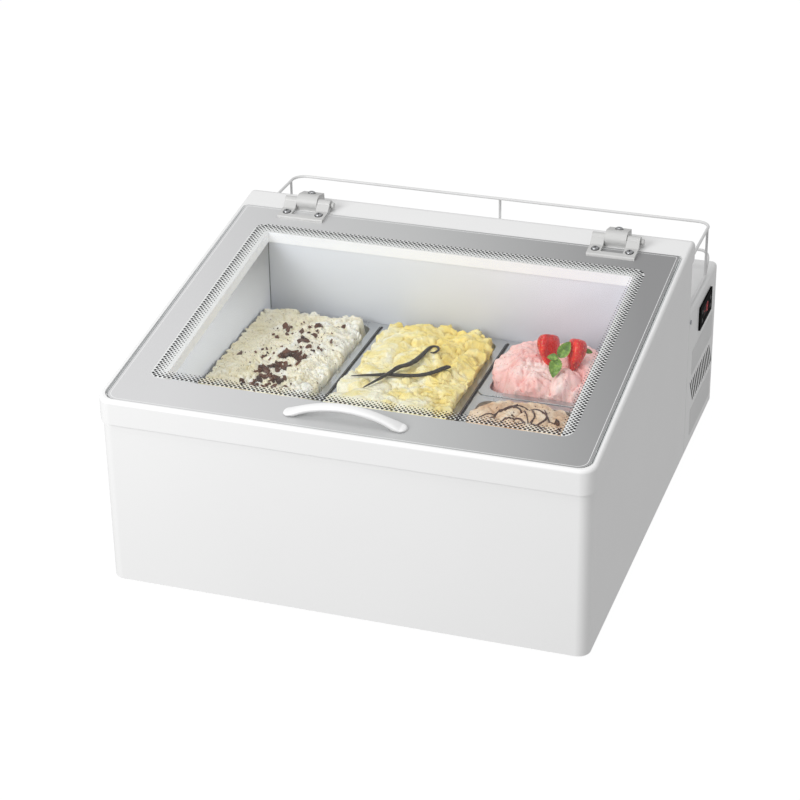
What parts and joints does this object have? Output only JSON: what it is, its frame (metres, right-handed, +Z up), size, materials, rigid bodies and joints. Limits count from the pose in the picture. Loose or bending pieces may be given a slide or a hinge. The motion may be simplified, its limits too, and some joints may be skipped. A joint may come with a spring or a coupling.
{
  "type": "ice cream dipping cabinet",
  "caption": "Countertop ice cream dipping cabinet: sloped hinged glass lid over an insulated well of lift-out pans, rear machine compartment and a wire gallery.",
  "frame": {"origin": "on the surface the feet stand on, under the middle of the cabinet's bounding box", "axes": "+Z up, +Y from the front of the cabinet to its rear, +X to the right as the user faces it"},
  "size_m": [0.626, 0.707, 0.3462],
  "materials": {
    "painted_steel": "white powder coat",
    "liner_white": "white enamelled sheet",
    "white_plastic": "gloss",
    "grey_plastic": "satin",
    "black_plastic": "satin",
    "display_red": "gloss tinted window",
    "lid_glass": "tempered, printed border",
    "stainless": "brushed",
    "zinc_steel": "zinc plated",
    "white_wire": "white plastic-coated wire",
    "black_rubber": "matte",
    "foam": "open-cut foam",
    "copper": "drawn tube",
    "black_enamel": "black enamel",
    "cream_ice": "scooped ice cream",
    "vanilla_ice": "scooped ice cream",
    "strawberry_ice": "scooped ice cream",
    "coffee_ice": "scooped ice cream"
  },
  "bodies": {
    "cabinet": {"outer_shell": "painted_steel", "base_plate": "zinc_steel", "rubber_feet": "black_rubber", "insulation_foam": "foam", "inner_liner": "liner_white", "evaporator_coil": "copper", "rear_bulkhead": "painted_steel", "collar_frame": "white_plastic", "hinge_knuckle_left": "grey_plastic", "hinge_knuckle_right": "grey_plastic", "hinge_pins": "grey_plastic", "hinge_knuckle_screws": "stainless", "pan_support_frame": "stainless", "frame_rests": "stainless", "temperature_probe": "black_plastic", "machine_cover": "painted_steel", "cover_screws": "zinc_steel", "rear_panel": "painted_steel", "rear_panel_screws": "zinc_steel", "wire_gallery": "white_wire", "gallery_sockets": "white_plastic", "thermostat_case": "black_plastic", "thermostat_bezel": "black_plastic", "display_lens": "display_red", "switch_housing": "black_plastic", "cable_gland": "black_plastic", "gland_nut": "black_plastic", "compressor": "black_enamel", "compressor_grommets": "black_rubber", "compressor_bolts": "zinc_steel", "relay_cover": "black_plastic", "condenser": "black_enamel", "condenser_bends": "copper", "fan_shroud": "black_plastic", "fan_motor": "zinc_steel", "filter_drier": "copper", "refrigerant_pipes": "copper"},
    "lid": {"lid_glass": "lid_glass", "lid_gasket": "black_rubber", "lid_handle": "white_plastic", "handle_screws": "zinc_steel", "hinge_leaf_left": "grey_plastic", "hinge_leaf_right": "grey_plastic", "hinge_leaf_screws": "stainless", "hinge_leaf_nuts": "zinc_steel"},
    "left_pan": {"pan_left": "stainless", "ice_cream_left": "cream_ice"},
    "middle_pan": {"pan_middle": "stainless", "ice_cream_middle": "vanilla_ice"},
    "right_rear_pan": {"pan_right_rear": "stainless", "ice_cream_right_rear": "strawberry_ice"},
    "right_front_pan": {"pan_right_front": "stainless", "ice_cream_right_front": "coffee_ice"},
    "up_key": {"key_up": "black_plastic"},
    "down_key": {"key_down": "black_plastic"},
    "set_key": {"key_set": "black_plastic"},
    "power_key": {"key_power": "black_plastic"},
    "rocker": {"switch_rocker": "black_plastic"},
    "fan": {"fan_rotor": "grey_plastic"}
  },
  "joints": [
    {"name": "lid_hinge", "type": "hinge", "parent": "cabinet", "child": "lid", "pos_m": [0, 0.13616, 0.33345], "axis": [-1, 0, 0], "range_deg": [0, 105]},
    {"name": "left_pan_lift", "type": "slide", "parent": "cabinet", "child": "left_pan", "axis": [0, 0, 1], "range_m": [0, 0.035]},
    {"name": "middle_pan_lift", "type": "slide", "parent": "cabinet", "child": "middle_pan", "axis": [0, 0, 1], "range_m": [0, 0.035]},
    {"name": "right_rear_pan_lift", "type": "slide", "parent": "cabinet", "child": "right_rear_pan", "axis": [0, 0, 1], "range_m": [0, 0.035]},
    {"name": "right_front_pan_lift", "type": "slide", "parent": "cabinet", "child": "right_front_pan", "axis": [0, 0, 1], "range_m": [0, 0.035]},
    {"name": "up_key_press", "type": "slide", "parent": "cabinet", "child": "up_key", "axis": [-1, 0, 0], "range_m": [0, 0.0008], "stiffness_N_per_m": 400},
    {"name": "down_key_press", "type": "slide", "parent": "cabinet", "child": "down_key", "axis": [-1, 0, 0], "range_m": [0, 0.0008], "stiffness_N_per_m": 400},
    {"name": "set_key_press", "type": "slide", "parent": "cabinet", "child": "set_key", "axis": [-1, 0, 0], "range_m": [0, 0.0008], "stiffness_N_per_m": 400},
    {"name": "power_key_press", "type": "slide", "parent": "cabinet", "child": "power_key", "axis": [-1, 0, 0], "range_m": [0, 0.0008], "stiffness_N_per_m": 400},
    {"name": "mains_switch", "type": "hinge", "parent": "cabinet", "child": "rocker", "pos_m": [-0.24, 0.3335, 0.065], "axis": [-1, 0, 0], "range_deg": [0, 16]},
    {"name": "fan_spin", "type": "hinge", "parent": "cabinet", "child": "fan", "pos_m": [0.196, 0.2585, 0.087], "axis": [1, 0, 0], "continuous": true}
  ]
}
